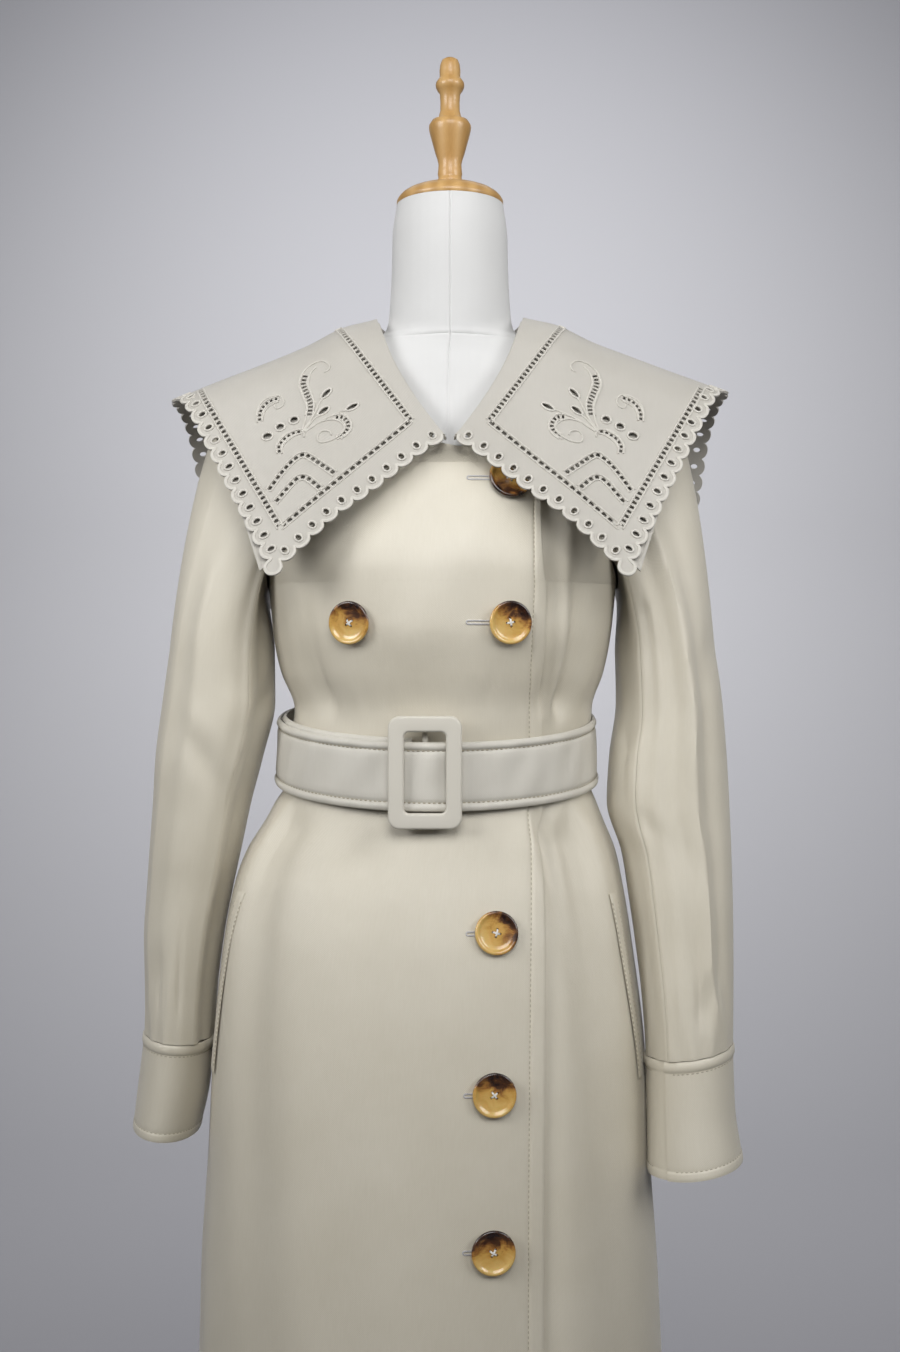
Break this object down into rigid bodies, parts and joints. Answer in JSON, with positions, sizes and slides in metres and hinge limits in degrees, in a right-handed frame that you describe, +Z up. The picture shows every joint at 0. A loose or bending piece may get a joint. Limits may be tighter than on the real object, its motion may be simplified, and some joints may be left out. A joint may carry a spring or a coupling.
{
  "type": "trench coat on dress form",
  "caption": "Belted double-breasted long coat with a wide cutwork collar, standing on a limbless dress form with a turned stand.",
  "frame": {"origin": "centre of the underside of the stand's base, on the floor", "axes": "+Z up along the stand's pole; the coat's front faces -Y; +X is the wearer's left"},
  "size_m": [0.4888, 0.34, 1.6063],
  "materials": {
    "coat_cloth": "ivory beige cotton sateen, soft sheen",
    "collar_cloth": "ivory cotton sateen, soft sheen",
    "buckle_cloth": "cloth-covered, smooth, satin",
    "button_horn": "amber horn imitation, polished",
    "form_cover": "white knit cover, matt",
    "stand_wood": "light golden, clear lacquer",
    "stand_metal": "brushed"
  },
  "bodies": {
    "root": {"front_right": "coat_cloth", "front_left": "coat_cloth", "back": "coat_cloth", "sleeve_right_top": "coat_cloth", "sleeve_right_under": "coat_cloth", "sleeve_left_top": "coat_cloth", "sleeve_left_under": "coat_cloth", "cuff_right": "coat_cloth", "cuff_left": "coat_cloth", "pocket_welt_right": "coat_cloth", "pocket_welt_left": "coat_cloth", "collar_cutwork": "collar_cloth", "collar_under": "collar_cloth", "collar_stand": "collar_cloth", "belt": "collar_cloth", "buckle": "buckle_cloth", "button_1": "button_horn", "button_2": "button_horn", "button_3": "button_horn", "button_4": "button_horn", "button_5": "button_horn", "button_6": "button_horn", "dress_form": "form_cover", "neck_cap": "stand_wood", "finial": "stand_wood", "stand_base": "stand_wood", "stand_pole": "stand_metal"}
  },
  "joints": []
}
